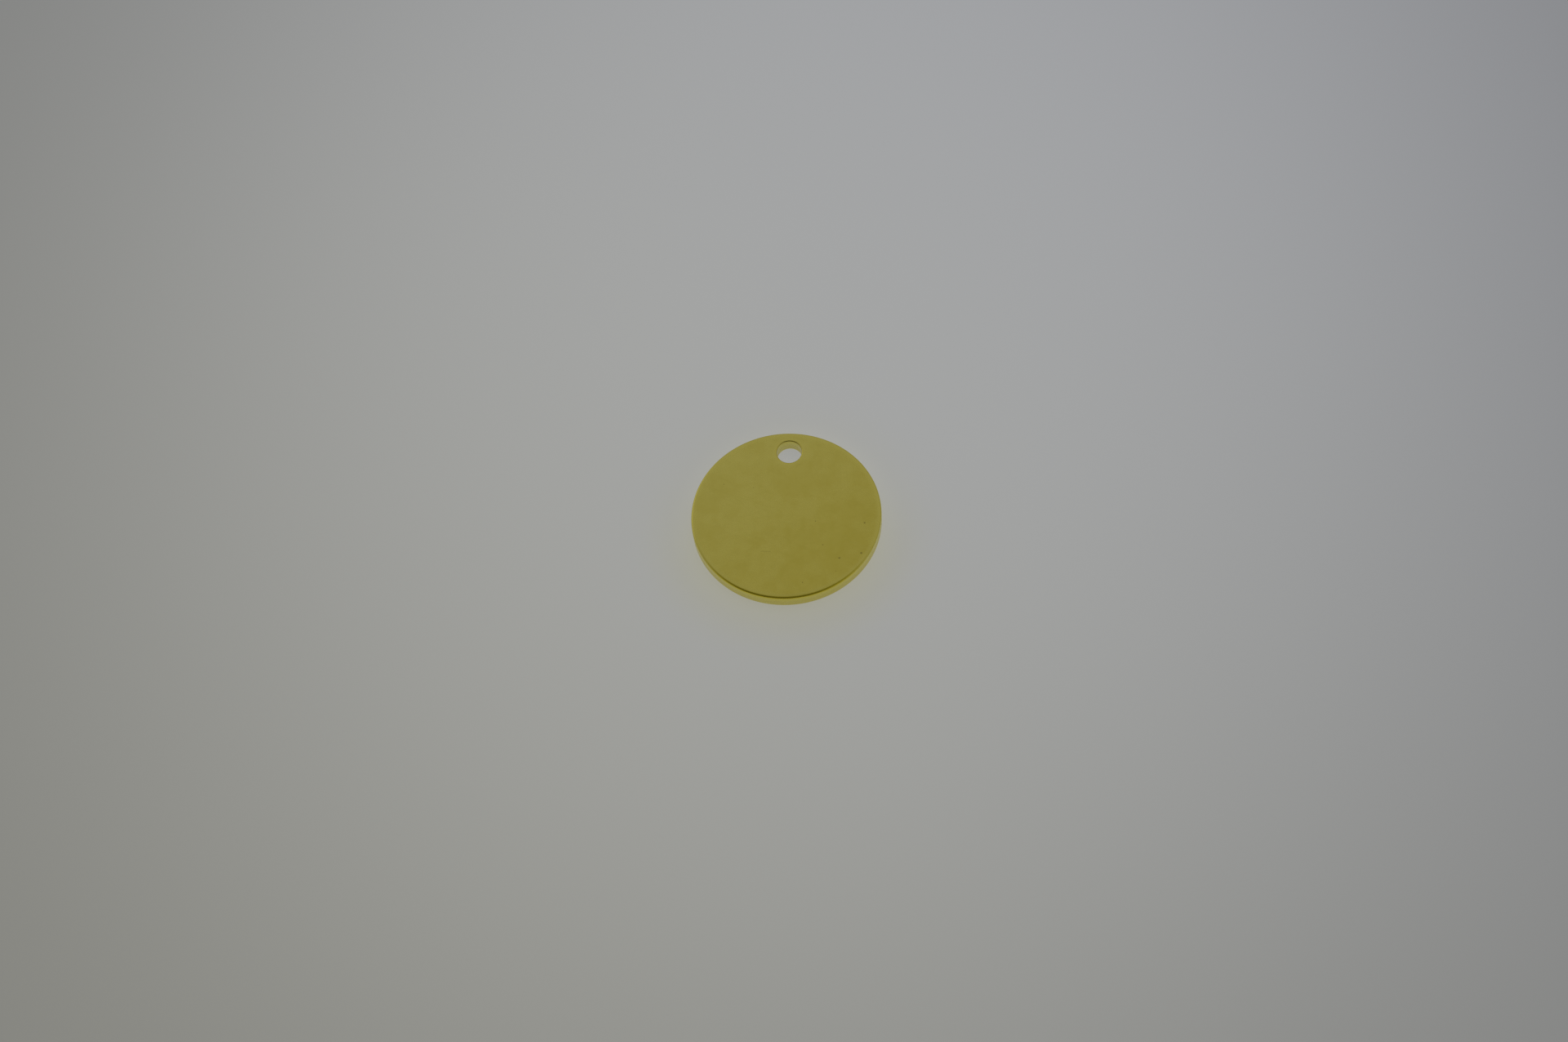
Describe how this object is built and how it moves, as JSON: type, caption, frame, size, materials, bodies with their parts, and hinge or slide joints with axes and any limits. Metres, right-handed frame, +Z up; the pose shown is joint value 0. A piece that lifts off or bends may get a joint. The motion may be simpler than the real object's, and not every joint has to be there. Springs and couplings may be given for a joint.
{
  "type": "ball marker",
  "caption": "Flat round brass golf ball marker with softly rounded edges and a small round hole near its edge.",
  "frame": {"origin": "centre of the disc's underside, on the surface that the disc lies on", "axes": "+Z up through the disc's thickness; +Y from the disc's centre towards the hole; +X completes the right-handed frame"},
  "size_m": [0.025, 0.025, 0.002],
  "materials": {
    "brass": "tumble-polished yellow brass, slightly worn satin"
  },
  "bodies": {
    "root": {"marker_disc": "brass"}
  },
  "joints": []
}
